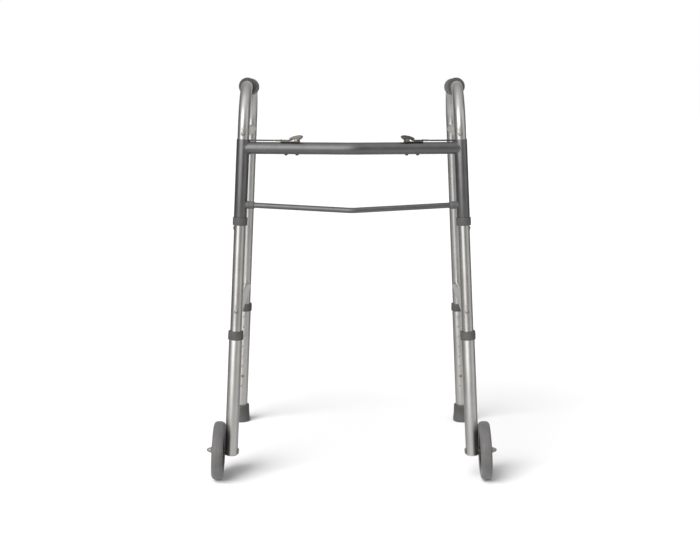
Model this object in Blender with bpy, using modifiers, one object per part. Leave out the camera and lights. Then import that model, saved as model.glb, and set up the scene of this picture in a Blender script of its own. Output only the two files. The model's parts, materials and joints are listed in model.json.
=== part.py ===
"""Folding two-lever walking frame with front wheels: one object per physical piece, metres, +Z up.

The front faces -Y, the user stands on the +Y side, side -1 is at -X and side +1 at +X.
"""

from math import cos, pi, radians, sin

import bmesh
import bpy
from mathutils import Matrix, Vector

# ---------------------------------------------------------------- layout
LEG_X0 = 0.2594  # half distance between the front leg axes, carried down to the floor
LEG_SPLAY = 0.0531  # inward lean of the legs, metres per metre of height
SIDE_TOE = 0.040  # the side frames open by this much per metre towards the rear
REAR_Y0 = 0.445  # front leg axis to rear leg axis at the floor
REAR_LEAN = 0.0787  # forward lean of the rear legs per metre of height
RAIL_Z = 0.826  # axis of the top rail
BEND_R = 0.085  # centreline radius of the two top bends
MIDDLE_Y = 0.2018  # from the front leg axes back to the middle of the whole frame
BOW = 0.035  # how far the cross members bow forwards at the middle
GAP = 0.0003  # gap between pieces that touch in the real frame

# ---------------------------------------------------------------- tubes
TUBE_R = 0.0120
TUBE_WALL = 0.0013
LOWER_R = 0.0138
LOWER_BORE = TUBE_R + GAP
FRONT_TUBE_END = 0.1225
REAR_TUBE_END = 0.0850
FRONT_LOWER = (0.0535, 0.3188)  # bottom and top of the front leg extension
REAR_LOWER = (0.0100, 0.3020)
SEGS = 20
HOLE_TURN = 0.2  # keeps the corners of a cutter off the edges of the tube it cuts

# ---------------------------------------------------------------- height adjustment
PITCH = 0.0254
HOLES = 8
FRONT_TOP_HOLE = 0.2890
REAR_TOP_HOLE = 0.2724
USED_HOLE = 6  # counted from 0 at the top
BUTTON_R = 0.0034
BUTTON_HOLE_R = 0.0038
BUTTON_TIP = 0.0163  # reach of the button from the leg axis
LEAF_FACE = 0.0094  # outer face of the spring leaf from the leg axis
LEAF_T = 0.0008
LEAF_W = 0.0080
LEAF_DROP = 0.007
LEAF_RISE = 0.026

# ---------------------------------------------------------------- front frame
SLEEVE_R = 0.0133
SLEEVE_Z = (0.5598, 0.7192)
BUSH_R = 0.0152
BUSH_Z = (0.5430, 0.5595)
BAR_Z = 0.7007
BAR_R = 0.0123
BAR_WALL = 0.0016
BAR_BEND_R = 0.12
ROD_R = 0.0056
ROD_END_Z = 0.5850
ROD_MID_Z = 0.5759
ROD_BEND_R = 0.06
SOCKET_R = 0.0080
SOCKET_REACH = 0.0285

# ---------------------------------------------------------------- braces and rivets
UPPER_BRACE = (0.7305, 0.7290, 0.0105)  # height at the front, height at the rear, radius
LOWER_BRACE = (0.3626, 0.3468, 0.0115)
BRACE_WALL = 0.0013
BRACE_PLUG = 0.004
RIVET_R = 0.0025
RIVET_HEAD_R = 0.0047
RIVET_HEAD_T = 0.0019
STOP_Z = 0.5368

# ---------------------------------------------------------------- release gear, along the half bar
PIN_Z = 0.7163
PIN_R = 0.0016
WIRE_R = 0.0012
PIN_HOLE_R = 0.0020
PIN_START = TUBE_R + 0.00035
STEP_T = 0.0635
CLEVIS_T = (0.0820, 0.0960)
CLEVIS_H = 0.0015
CLEVIS_W = 0.0040
PIVOT_T = 0.1116
PIVOT_Z = 0.7175
PIVOT_R = 0.0010
PULL_OFFSET = (-0.0030, 0.0033)  # pull pin from the lever pivot, along the bar and up
PULL_R = 0.0009
BASE_Z = (0.7133, 0.7145)
BASE_START = 0.0788  # near end of the bracket, along the half bar
BASE_W = 0.0078
EAR_W = 0.0042
EAR_T = 0.0012
EAR_TOP = PIVOT_Z + 0.0024
RIVET_T = (PIVOT_T, (CLEVIS_T[0] + CLEVIS_T[1]) / 2)  # the bracket's two rivets
BRACKET_HEAD_R = 0.0036
CHEEK_W = 0.0072
CHEEK_T = 0.0012
SPRING_T = (0.0656, 0.0784)
SPRING_R = 0.0022
SPRING_WIRE = 0.00038
SPRING_TURNS = 5

# ---------------------------------------------------------------- grips, wheels, feet
GRIP_R = 0.0185
GRIP_Y = (0.0960, 0.2640)
GRIP_RIBS = 6
WHEEL_R = 0.0615
TYRE_W = 0.0238
TYRE_IN_R = 0.0452
AXLE_Z = 0.06028
AXLE_R = 0.0040
WHEEL_OUT = 0.0270  # leg axis to the wheel's middle plane
NUT_END = 0.0518  # leg axis to the end of the axle nut
TIP_TOP = 0.0422
TIP_R = 0.0217
COLLAR_R = 0.0160


def clear_scene():
    for ob in list(bpy.data.objects):
        bpy.data.objects.remove(ob, do_unlink=True)


clear_scene()
PARTS = bpy.data.collections.new("walking_frame")
CUTTERS = bpy.data.collections.new("cutters")
for group in (PARTS, CUTTERS):
    bpy.context.scene.collection.children.link(group)


def material(name, colour, rough, metal=0.0):
    mat = bpy.data.materials.new(name)
    mat.use_nodes = True
    shader = mat.node_tree.nodes["Principled BSDF"]
    shader.inputs["Base Color"].default_value = (*colour, 1.0)
    shader.inputs["Roughness"].default_value = rough
    shader.inputs["Metallic"].default_value = metal
    return mat


ALUMINIUM = material("anodised_aluminium", (0.72, 0.71, 0.69), 0.32, 1.0)
PAINT = material("grey_paint", (0.16, 0.16, 0.165), 0.42)
STEEL = material("zinc_steel", (0.55, 0.54, 0.52), 0.35, 1.0)
BRASS = material("brass_plate", (0.66, 0.52, 0.22), 0.35, 1.0)
COLLAR_PLASTIC = material("collar_plastic", (0.085, 0.080, 0.075), 0.5)
SOCKET_PLASTIC = material("socket_plastic", (0.22, 0.22, 0.215), 0.5)
PLUG_PLASTIC = material("plug_plastic", (0.52, 0.51, 0.49), 0.45)
GRIP_RUBBER = material("grip_rubber", (0.085, 0.080, 0.075), 0.65)
FOOT_RUBBER = material("foot_rubber", (0.11, 0.105, 0.10), 0.75)
TYRE_RUBBER = material("tyre_rubber", (0.17, 0.165, 0.16), 0.7)
HUB_PLASTIC = material("hub_plastic", (0.035, 0.035, 0.037), 0.45)


# ---------------------------------------------------------------- frames of reference
def frame(x_axis, y_axis, z_axis, origin):
    rot = Matrix((x_axis, y_axis, z_axis)).transposed().to_4x4()
    return Matrix.Translation(origin) @ rot


def side_frame(side):
    """Local Z up the front leg axis, local Y rearwards in the side frame's plane."""
    up = Vector((-side * LEG_SPLAY, 0.0, 1.0)).normalized()
    back = Vector((side * SIDE_TOE, 1.0, 0.0))
    back = (back - back.dot(up) * up).normalized()
    return frame(back.cross(up), back, up, Vector((side * LEG_X0, 0.0, 0.0)))


def rear_frame(side):
    """Local Z up the rear leg axis, local Y rearwards."""
    up = Vector((0.0, -REAR_LEAN, 1.0)).normalized()
    across = Vector((1.0, 0.0, 0.0))
    return side_frame(side) @ frame(across, up.cross(across), up, Vector((0.0, REAR_Y0, 0.0)))


def leg_x(z):
    return LEG_X0 - LEG_SPLAY * z


def bar_frame(side, z):
    """Local X from the front leg axis to the middle of the bowed bar, local Z straight up."""
    along = Vector((-side * leg_x(z), -BOW, 0.0)).normalized()
    up = Vector((0.0, 0.0, 1.0))
    return frame(along, up.cross(along), up, Vector((side * leg_x(z), 0.0, 0.0)))


def rear_y(z):
    return REAR_Y0 - REAR_LEAN * z


# ---------------------------------------------------------------- shapes
def spun(profile, segs, closed):
    """Turns a line of (radius, height) points about Z."""
    bm = bmesh.new()
    verts = [bm.verts.new((r, 0.0, z)) for r, z in profile]
    pairs = list(zip(verts, verts[1:]))
    if closed:
        pairs.append((verts[-1], verts[0]))
    edges = [bm.edges.new(pair) for pair in pairs]
    bmesh.ops.spin(
        bm,
        geom=verts + edges,
        cent=(0, 0, 0),
        axis=(0, 0, 1),
        dvec=(0, 0, 0),
        angle=2 * pi,
        steps=segs,
        use_merge=True,
        use_duplicate=False,
    )
    return finish_shape(bm)


def lathe(profile, segs=SEGS):
    """A ring from a closed outline of (radius, height) points."""
    return spun(profile, segs, closed=True)


def turned(profile, segs=SEGS):
    """A solid from (radius, height) points that start and end on the axis."""
    return spun(profile, segs, closed=False)


def finish_shape(bm):
    bmesh.ops.remove_doubles(bm, verts=bm.verts, dist=1e-6)
    bmesh.ops.dissolve_degenerate(bm, edges=bm.edges, dist=1e-7)
    bmesh.ops.recalc_face_normals(bm, faces=bm.faces)
    return bm


def tube(r_in, r_out, z0, z1, segs=SEGS):
    return lathe([(r_out, z1), (r_out, z0), (r_in, z0), (r_in, z1)], segs)


def rod(radius, z0, z1, segs=SEGS):
    return turned([(0, z1), (radius, z1), (radius, z0), (0, z0)], segs)


def block(low, high):
    bm = bmesh.new()
    bmesh.ops.create_cube(bm, size=1.0)
    size = [b - a for a, b in zip(low, high)]
    middle = [(a + b) / 2 for a, b in zip(low, high)]
    bmesh.ops.scale(bm, vec=size, verts=bm.verts)
    bmesh.ops.translate(bm, vec=middle, verts=bm.verts)
    return bm


def prism(outline, y0, y1):
    """Extrudes an outline in the XZ plane from y0 to y1."""
    bm = bmesh.new()
    face = bm.faces.new([bm.verts.new((x, y0, z)) for x, z in outline])
    moved = bmesh.ops.extrude_face_region(bm, geom=[face])["geom"]
    verts = [g for g in moved if isinstance(g, bmesh.types.BMVert)]
    bmesh.ops.translate(bm, vec=(0, y1 - y0, 0), verts=verts)
    bmesh.ops.recalc_face_normals(bm, faces=bm.faces)
    return bm


def make_object(name, bm, matrix, mat, collection=None):
    mesh = bpy.data.meshes.new(name)
    bm.to_mesh(mesh)
    bm.free()
    return make_from_mesh(name, mesh, matrix, mat, collection)


def make_from_mesh(name, mesh, matrix, mat, collection=None):
    ob = bpy.data.objects.new(name, mesh)
    ob.matrix_world = matrix
    (collection or PARTS).objects.link(ob)
    if mat:
        mesh.materials.clear()
        mesh.materials.append(mat)
    mesh.shade_smooth()
    mesh.set_sharp_from_angle(angle=radians(35))
    return ob


def boolean(ob, operation, bm, matrix):
    """Cuts ob with, or joins to it, a shape given in the world frame `matrix`."""
    count = len(ob.modifiers)
    tool = make_object(f"tool_{ob.name}_{count}", bm, matrix, None, CUTTERS)
    tool.hide_render = True
    tool.display_type = "WIRE"
    mod = ob.modifiers.new(f"{operation.lower()}_{count}", "BOOLEAN")
    mod.operation = operation
    mod.solver = "EXACT"
    mod.object = tool


def swept(name, points, radius, resolution):
    """A tube surface along points, open at both ends, as a mesh."""
    curve = bpy.data.curves.new(name, "CURVE")
    curve.dimensions = "3D"
    curve.bevel_depth = radius
    curve.bevel_resolution = resolution
    spline = curve.splines.new("POLY")
    spline.points.add(len(points) - 1)
    for point, place in zip(spline.points, points):
        point.co = (*place, 1.0)
    ob = bpy.data.objects.new(name + "_path", curve)
    PARTS.objects.link(ob)
    mesh = bpy.data.meshes.new_from_object(ob.evaluated_get(bpy.context.evaluated_depsgraph_get()))
    bpy.data.objects.remove(ob, do_unlink=True)
    return mesh


def filleted(corners, radii, steps):
    """Replaces each inner corner of a path by an arc of its radius."""
    path = [Vector(corners[0])]
    for before, here, after, radius in zip(corners, corners[1:], corners[2:], radii):
        here = Vector(here)
        a = (Vector(before) - here).normalized()
        b = (Vector(after) - here).normalized()
        half = a.angle(b) / 2
        back = radius / abs(sin(half) / cos(half))
        centre = here + (a + b).normalized() * (radius / sin(half))
        start = here + a * back - centre
        end = here + b * back - centre
        turn = start.angle(end)
        for i in range(steps + 1):
            t = i / steps
            path.append(centre + (start * sin((1 - t) * turn) + end * sin(t * turn)) / sin(turn))
    path.append(Vector(corners[-1]))
    return path


# ---------------------------------------------------------------- front frame
def sleeve(side, tag):
    up = side_frame(side)
    ob = make_object("sleeve_" + tag, tube(LOWER_BORE, SLEEVE_R, *SLEEVE_Z), up, PAINT)
    cut_pin_hole(ob, side)
    bevel = 0.0012
    bush = [
        (BUSH_R, BUSH_Z[1] - bevel),
        (BUSH_R, BUSH_Z[0] + bevel),
        (BUSH_R - bevel, BUSH_Z[0]),
        (LOWER_BORE, BUSH_Z[0]),
        (LOWER_BORE, BUSH_Z[1]),
        (BUSH_R - bevel, BUSH_Z[1]),
    ]
    make_object("sleeve_bushing_" + tag, lathe(bush), up, COLLAR_PLASTIC)


def cut_pin_hole(ob, side):
    turn = bar_frame(side, PIN_Z) @ Matrix.Translation((0, 0, PIN_Z)) @ Matrix.Rotation(pi / 2, 4, "Y")
    boolean(ob, "DIFFERENCE", rod(PIN_HOLE_R, 0.004, 0.020, 12), turn)


def crossbar():
    x = leg_x(BAR_Z)
    corners = [(-x, 0, BAR_Z), (0, -BOW, BAR_Z), (x, 0, BAR_Z)]
    mesh = swept("crossbar", filleted(corners, [BAR_BEND_R], 4), BAR_R, 8)
    ob = make_from_mesh("crossbar", mesh, Matrix(), PAINT)
    wall = ob.modifiers.new("wall", "SOLIDIFY")
    wall.thickness = BAR_WALL
    wall.offset = -1
    for side in (-1, 1):
        saddle = rod(SLEEVE_R + GAP, BAR_Z - 0.03, BAR_Z + 0.03, 24)
        boolean(ob, "DIFFERENCE", saddle, side_frame(side))
        for t in RIVET_T:
            hole = rod(RIVET_R + GAP, BAR_Z - 0.02, BAR_Z + 0.02, 10)
            boolean(ob, "DIFFERENCE", hole, on_bar(side, t, 0))


def lower_rod():
    x = leg_x(ROD_END_Z)
    corners = [Vector((-x, 0, ROD_END_Z)), Vector((0, -BOW, ROD_MID_Z)), Vector((x, 0, ROD_END_Z))]
    start = SLEEVE_R + GAP + 0.0010
    corners[0] += (corners[1] - corners[0]).normalized() * start
    corners[2] += (corners[1] - corners[2]).normalized() * start
    mesh = swept("lower_cross_rod", filleted(corners, [ROD_BEND_R], 5), ROD_R, 6)
    bm = bmesh.new()
    bm.from_mesh(mesh)
    rims = [e for e in bm.edges if e.is_boundary]
    bmesh.ops.holes_fill(bm, edges=rims, sides=0)
    bmesh.ops.recalc_face_normals(bm, faces=bm.faces)
    make_object("lower_cross_rod", bm, Matrix(), PAINT)


def rod_socket(side, tag):
    x = leg_x(ROD_END_Z)
    along = Vector((-side * x, -BOW, ROD_MID_Z - ROD_END_Z)).normalized()
    up = Vector((0, 0, 1))
    up = (up - up.dot(along) * along).normalized()
    place = frame(up, along.cross(up), along, Vector((side * x, 0, ROD_END_Z)))
    lip = 0.0010
    cup = [
        (ROD_R + GAP, 0.009),
        (SOCKET_R, 0.009),
        (SOCKET_R, SOCKET_REACH - lip),
        (SOCKET_R - lip, SOCKET_REACH),
        (ROD_R + GAP, SOCKET_REACH),
    ]
    ob = make_object("rod_socket_" + tag, lathe(cup, 16), place, SOCKET_PLASTIC)
    boolean(ob, "DIFFERENCE", rod(SLEEVE_R + GAP, 0.55, 0.62, 24), side_frame(side))


# ---------------------------------------------------------------- release gear
def on_bar(side, t, z):
    return bar_frame(side, PIN_Z) @ Matrix.Translation((t, 0, z))


def lever_bracket(side, tag):
    """Folded plate with two ears, a guide for the pull wire and the two rivets that hold it."""
    base = on_bar(side, 0, 0)
    plate = block((BASE_START, -BASE_W, BASE_Z[0]), (PIVOT_T + 0.006, BASE_W, BASE_Z[1]))
    ob = make_object("lever_bracket_" + tag, plate, base, BRASS)
    for ear in (-1, 1):
        y0, y1 = sorted((ear * (CHEEK_W + GAP), ear * (CHEEK_W + GAP + EAR_T)))
        ear_plate = block((PIVOT_T - EAR_W, y0, BASE_Z[0]), (PIVOT_T + EAR_W, y1, EAR_TOP))
        boolean(ob, "UNION", ear_plate, base)
    guide = block((BASE_START, -0.0035, BASE_Z[0]), (BASE_START + 0.0010, 0.0035, PIN_Z + 0.0026))
    boolean(ob, "UNION", guide, base)
    for t in RIVET_T:
        boolean(ob, "UNION", bracket_rivet(), on_bar(side, t, 0))
    eye = Matrix.Rotation(pi / 2, 4, "Y")
    boolean(ob, "DIFFERENCE", rod(WIRE_R + GAP, 0.070, 0.081, 12), on_bar(side, 0, PIN_Z) @ eye)
    cross = Matrix.Rotation(pi / 2, 4, "X")
    bore = rod(PIVOT_R + 0.0002, -0.012, 0.012, 12)
    boolean(ob, "DIFFERENCE", bore, on_bar(side, PIVOT_T, PIVOT_Z) @ cross)


def bracket_rivet():
    """Shank through the crossbar, with its head below the bar."""
    top = BASE_Z[1] - 0.0004
    low = BAR_Z - BAR_R - GAP
    return turned(
        [
            (0, top),
            (RIVET_R, top),
            (RIVET_R, low),
            (BRACKET_HEAD_R, low),
            (BRACKET_HEAD_R, low - 0.0012),
            (BRACKET_HEAD_R * 0.6, low - 0.0022),
            (0, low - 0.0024),
        ],
        10,
    )


def lever_pin(side, tag):
    """Pivot pin with a small head outside each ear."""
    ear = CHEEK_W + GAP + EAR_T + 0.0002
    head_r = PIVOT_R + 0.0010
    end = ear + 0.0010
    pin = turned(
        [(0, end), (head_r, end), (head_r, ear), (PIVOT_R, ear)]
        + [(PIVOT_R, -ear), (head_r, -ear), (head_r, -end), (0, -end)],
        12,
    )
    place = on_bar(side, PIVOT_T, PIVOT_Z) @ Matrix.Rotation(pi / 2, 4, "X")
    make_object("lever_pin_" + tag, pin, place, STEEL)


def release_lever(side, tag):
    """Pressed channel: a thumb pad that rises towards the middle, with two pivot cheeks."""
    place = on_bar(side, PIVOT_T, PIVOT_Z)
    pad = [
        (-0.0146, 0.0018),
        (-0.0060, 0.0014),
        (-0.0022, -0.0018),
        (0.0000, -0.0026),
        (0.0022, -0.0018),
        (0.0070, 0.0010),
        (0.0108, 0.0042),
        (0.0118, 0.0062),
        (0.0108, 0.0080),
        (0.0080, 0.0092),
        (0.0040, 0.0094),
        (-0.0030, 0.0086),
        (-0.0100, 0.0062),
        (-0.0146, 0.0036),
    ]
    ob = make_object("release_lever_" + tag, prism(pad, -CHEEK_W, CHEEK_W), place, STEEL)
    inner = CHEEK_W - CHEEK_T
    pocket = [
        (-0.0160, -0.0040),
        (0.0106, -0.0040),
        (0.0106, 0.0058),
        (0.0080, 0.0078),
        (0.0040, 0.0080),
        (-0.0030, 0.0072),
        (-0.0100, 0.0048),
        (-0.0160, 0.0020),
    ]
    boolean(ob, "DIFFERENCE", prism(pocket, -inner, inner), place)
    cross = Matrix.Rotation(pi / 2, 4, "X")
    boolean(ob, "DIFFERENCE", rod(PIVOT_R + 0.0003, -0.01, 0.01, 12), place @ cross)
    pull = place @ Matrix.Translation((PULL_OFFSET[0], 0, PULL_OFFSET[1])) @ cross
    reach = inner + 0.0004
    boolean(ob, "UNION", rod(PULL_R, -reach, reach, 10), pull)


def release_rod(side, tag):
    """Latch pin, thinner pull wire and the flat clevis with its slotted tang, as one welded piece."""
    place = on_bar(side, 0, PIN_Z)
    lie = Matrix.Rotation(pi / 2, 4, "Y")
    chamfer = 0.0005
    wire = turned(
        [
            (0, CLEVIS_T[0] + 0.003),
            (WIRE_R, CLEVIS_T[0] + 0.003),
            (WIRE_R, STEP_T),
            (PIN_R, STEP_T),
            (PIN_R, PIN_START + chamfer),
            (PIN_R - chamfer, PIN_START),
            (0, PIN_START),
        ],
        12,
    )
    ob = make_object("release_rod_" + tag, wire, place @ lie, STEEL)
    plate = block((CLEVIS_T[0], -CLEVIS_W, -CLEVIS_H), (CLEVIS_T[1], CLEVIS_W, CLEVIS_H))
    boolean(ob, "UNION", plate, place)
    lift = PIVOT_Z - PIN_Z
    pull_t = PIVOT_T + PULL_OFFSET[0]
    low = lift + 0.0014
    tang = [
        (CLEVIS_T[1] - 0.003, -0.0010),
        (CLEVIS_T[1] + 0.004, -0.0010),
        (pull_t - 0.0030, low),
        (pull_t + 0.0024, low),
        (pull_t + 0.0024, low + 0.0040),
        (pull_t - 0.0034, low + 0.0020),
        (CLEVIS_T[1] - 0.003, 0.0012),
    ]
    boolean(ob, "UNION", prism(tang, -0.0010, 0.0010), place)
    slot_w = PULL_R + 0.0003
    slot = [
        (pull_t - slot_w, low + 0.0006),
        (pull_t + slot_w, low + 0.0006),
        (pull_t + slot_w, low + 0.0070),
        (pull_t - slot_w, low + 0.0070),
    ]
    boolean(ob, "DIFFERENCE", prism(slot, -0.0020, 0.0020), place)


def release_spring(side, tag):
    points = []
    steps = 8 * SPRING_TURNS
    for i in range(steps + 1):
        t = i / steps
        turn = 2 * pi * SPRING_TURNS * t
        along = SPRING_T[0] + (SPRING_T[1] - SPRING_T[0]) * t
        points.append((along, SPRING_R * cos(turn), SPRING_R * sin(turn)))
    mesh = swept("release_spring_" + tag, points, SPRING_WIRE, 0)
    bm = bmesh.new()
    bm.from_mesh(mesh)
    bmesh.ops.holes_fill(bm, edges=[e for e in bm.edges if e.is_boundary], sides=0)
    bmesh.ops.recalc_face_normals(bm, faces=bm.faces)
    make_object("release_spring_" + tag, bm, on_bar(side, 0, PIN_Z), STEEL)


# ---------------------------------------------------------------- side frame
def side_tube(side, tag):
    front = FRONT_TUBE_END
    corners = [
        (0, 0, front),
        (0, 0, RAIL_Z),
        (0, rear_y(RAIL_Z), RAIL_Z),
        (0, rear_y(REAR_TUBE_END), REAR_TUBE_END),
    ]
    path = filleted(corners, [BEND_R, BEND_R], 7)
    mesh = swept("side_tube_" + tag, path, TUBE_R, 8)
    ob = make_from_mesh("side_tube_" + tag, mesh, side_frame(side), ALUMINIUM)
    wall = ob.modifiers.new("wall", "SOLIDIFY")
    wall.thickness = TUBE_WALL
    wall.offset = -1
    cut_pin_hole(ob, side)
    turn = Matrix.Rotation(HOLE_TURN, 4, "Z")
    for place in button_places(side):
        boolean(ob, "DIFFERENCE", rod(BUTTON_HOLE_R, 0.006, 0.018, 12), place @ turn)
    for place in rivet_places(side):
        boolean(ob, "DIFFERENCE", rod(RIVET_R + GAP, -0.018, 0.018, 8), place @ turn)
    boolean(ob, "DIFFERENCE", rod(RIVET_R + GAP, 0.0, 0.018, 8), stop_place(side) @ turn)


def button_places(side):
    """Local Z points out through the button: rearwards on the front leg, forwards on the rear leg."""
    used = USED_HOLE * PITCH
    front = side_frame(side) @ Matrix.Translation((0, 0, FRONT_TOP_HOLE - used))
    rear = rear_frame(side) @ Matrix.Translation((0, 0, REAR_TOP_HOLE - used))
    return front @ Matrix.Rotation(-pi / 2, 4, "X"), rear @ Matrix.Rotation(pi / 2, 4, "X")


def rivet_places(side):
    """Local Z points away from the brace, out of the leg: front and rear of the upper, then of the lower."""
    places = []
    for heights in (UPPER_BRACE, LOWER_BRACE):
        place, length = brace_frame(side, heights)
        places.append(place @ Matrix.Rotation(pi, 4, "X"))
        places.append(place @ Matrix.Translation((0, 0, length)))
    return places


def brace_frame(side, heights):
    """Local Z along the brace from the front leg axis, and the distance to the rear leg axis."""
    z_front, z_rear, _ = heights
    back = Vector((0, rear_y(z_rear), z_rear - z_front))
    across = Vector((1, 0, 0))
    along = back.normalized()
    local = frame(across, along.cross(across), along, Vector((0, 0, z_front)))
    return side_frame(side) @ local, back.length


def stop_place(side):
    """Local Z points outwards from the front leg, just below the sleeve bushing."""
    turn = Matrix.Rotation(side * pi / 2, 4, "Y")
    return side_frame(side) @ Matrix.Translation((0, 0, STOP_Z)) @ turn


def brace(side, tag, name, heights):
    z_front, z_rear, radius = heights
    place, length = brace_frame(side, heights)
    inner = radius - BRACE_WALL
    ear = 0.0045
    plug = TUBE_R + 2 * GAP
    hole = RIVET_R + GAP
    far = length - plug
    ring = [
        (inner, ear),
        (radius, ear),
        (radius, length - ear),
        (inner, length - ear),
        (inner, far),
        (hole, far),
        (hole, far - BRACE_PLUG),
        (inner, far - BRACE_PLUG),
        (inner, plug + BRACE_PLUG),
        (hole, plug + BRACE_PLUG),
        (hole, plug),
        (inner, plug),
    ]
    ob = make_object(f"{name}_{tag}", lathe(ring, 16), place, ALUMINIUM)
    span = 0.02
    boolean(ob, "DIFFERENCE", rod(TUBE_R + GAP, z_front - span, z_front + span, 24), side_frame(side))
    boolean(ob, "DIFFERENCE", rod(TUBE_R + GAP, z_rear - span, z_rear + span, 24), rear_frame(side))


def brace_rivets(side, tag):
    names = ("front_upper", "rear_upper", "front_lower", "rear_lower")
    top = TUBE_R + GAP
    tail = TUBE_R + 2 * GAP + BRACE_PLUG + GAP
    rivet = [
        (0, top + RIVET_HEAD_T),
        (RIVET_HEAD_R * 0.7, top + RIVET_HEAD_T * 0.8),
        (RIVET_HEAD_R, top + RIVET_HEAD_T * 0.35),
        (RIVET_R, top),
        (RIVET_R, -tail),
        (RIVET_R * 1.5, -tail),
        (RIVET_R * 1.5, -tail - 0.0015),
        (0, -tail - 0.0015),
    ]
    for name, place in zip(names, rivet_places(side)):
        make_object(f"rivet_{name}_{tag}", turned(rivet, 10), place, ALUMINIUM)


def stop_rivet(side, tag):
    top = TUBE_R + GAP
    bore = TUBE_R - TUBE_WALL - 0.0010
    rivet = [
        (0, top + 0.0016),
        (0.0030, top + 0.0012),
        (0.0040, top),
        (RIVET_R, top),
        (RIVET_R, bore),
        (0.0036, bore),
        (0.0036, bore - 0.0014),
        (0, bore - 0.0014),
    ]
    make_object("stop_rivet_" + tag, turned(rivet, 10), stop_place(side), ALUMINIUM)


def hand_grip(side, tag):
    """Moulded sleeve with raised finger rings."""
    hole = TUBE_R + GAP
    y0, y1 = GRIP_Y
    valley = GRIP_R - 0.0013
    ring = [(hole, y0), (GRIP_R - 0.0018, y0), (GRIP_R, y0 + 0.0018), (GRIP_R, y0 + 0.0090)]
    start, end = y0 + 0.0090, y1 - 0.0090
    step = (end - start) / GRIP_RIBS
    for i in range(GRIP_RIBS):
        at = start + i * step
        ring += [(valley, at + step * 0.25), (GRIP_R, at + step * 0.5)]
        if i < GRIP_RIBS - 1:
            ring.append((GRIP_R, at + step))
    ring += [(GRIP_R, y1 - 0.0018), (GRIP_R - 0.0018, y1), (hole, y1)]
    lie = Matrix.Translation((0, 0, RAIL_Z)) @ Matrix.Rotation(-pi / 2, 4, "X")
    make_object("hand_grip_" + tag, lathe(ring, 16), side_frame(side) @ lie, GRIP_RUBBER)


# ---------------------------------------------------------------- leg extensions
def extension(name, place, heights, top_hole, turn):
    """Outer tube with the row of adjustment holes, and the collar pressed on its top."""
    low, top = heights
    origin = place @ Matrix.Translation((0, 0, top))
    bm = tube(LOWER_BORE, LOWER_R, low - top, 0.0)
    ob = make_object("leg_extension_" + name, bm, origin, ALUMINIUM)
    for i in range(HOLES):
        hole = rod(BUTTON_HOLE_R, 0.008, 0.018, 8)
        at = place @ Matrix.Translation((0, 0, top_hole - i * PITCH)) @ turn
        boolean(ob, "DIFFERENCE", hole, at)
    lip = 0.0020
    drop = -0.0160
    edge = 0.0010
    collar = [
        (LOWER_BORE, lip),
        (COLLAR_R - edge, lip),
        (COLLAR_R, lip - edge),
        (COLLAR_R, drop + edge),
        (COLLAR_R - edge, drop),
        (LOWER_R + GAP, drop),
        (LOWER_R + GAP, GAP),
        (LOWER_BORE, GAP),
    ]
    make_object("leg_collar_" + name, lathe(collar), origin, COLLAR_PLASTIC)
    return ob


def snap_button(name, place):
    """Brass button with its spring leaf; the leaf follows the tube's length."""
    dome = 0.0012
    head = [
        (0, BUTTON_TIP),
        (BUTTON_R * 0.6, BUTTON_TIP - dome * 0.3),
        (BUTTON_R, BUTTON_TIP - dome),
        (BUTTON_R, LEAF_FACE - LEAF_T * 0.5),
        (0, LEAF_FACE - LEAF_T * 0.5),
    ]
    ob = make_object("snap_button_" + name, turned(head, 16), place, BRASS)
    up = -1 if name.startswith("front") else 1
    y0, y1 = sorted((up * LEAF_RISE, -up * LEAF_DROP))
    leaf = block((-LEAF_W / 2, y0, LEAF_FACE - LEAF_T), (LEAF_W / 2, y1, LEAF_FACE))
    boolean(ob, "UNION", leaf, place)


def wheel(side, tag):
    """Tyre, hub, axle bolt and nut; local Z points outwards along the axle."""
    level = side_frame(side) @ Matrix.Translation((0, 0, AXLE_Z))
    axle = level @ Matrix.Rotation(side * pi / 2, 4, "Y")
    middle = axle @ Matrix.Translation((0, 0, WHEEL_OUT))
    half = TYRE_W / 2
    tread = [
        (TYRE_IN_R, -half * 0.80),
        (WHEEL_R - 0.0105, -half),
        (WHEEL_R - 0.0055, -half * 0.94),
        (WHEEL_R - 0.0019, -half * 0.70),
        (WHEEL_R, -half * 0.34),
    ]
    tyre = tread + [(r, -z) for r, z in reversed(tread)]
    make_object("tyre_" + tag, lathe(tyre, 36), middle, TYRE_RUBBER)
    rim = TYRE_IN_R - GAP
    bore = AXLE_R + GAP
    boss = 0.0110
    inner = -(WHEEL_OUT - LOWER_R - 2 * GAP)
    hub = [
        (bore, inner),
        (boss, inner),
        (boss, -half * 0.35),
        (rim - 0.0077, -half * 0.35),
        (rim - 0.0047, -half * 0.80),
        (rim, -half * 0.80),
        (rim, half * 0.80),
        (rim - 0.0047, half * 0.80),
        (rim - 0.0077, half * 0.35),
        (boss, half * 0.35),
        (boss, half * 0.90),
        (bore, half * 0.90),
    ]
    make_object("wheel_hub_" + tag, lathe(hub, 24), middle, HUB_PLASTIC)
    axle_bolt(tag, axle)


def axle_bolt(tag, axle):
    head = -(LOWER_R + GAP)
    nut0 = WHEEL_OUT + TYRE_W * 0.45 + 0.0006
    bolt = turned(
        [
            (0, head - 0.0024),
            (0.0048, head - 0.0020),
            (0.0066, head - 0.0008),
            (0.0066, head),
            (AXLE_R, head),
            (AXLE_R, NUT_END - 0.0030),
            (0, NUT_END - 0.0030),
        ],
        16,
    )
    make_object("axle_bolt_" + tag, bolt, axle, STEEL)
    nut = turned(
        [
            (0, NUT_END),
            (0.0034, NUT_END - 0.0006),
            (0.0056, NUT_END - 0.0030),
            (0.0072, nut0 + 0.0064),
            (0.0072, nut0),
            (0, nut0),
        ],
        6,
    )
    ob = make_object("axle_nut_" + tag, nut, axle, STEEL)
    boolean(ob, "DIFFERENCE", rod(AXLE_R + GAP, nut0 - 0.002, NUT_END - 0.0030 + GAP, 16), axle)


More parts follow.
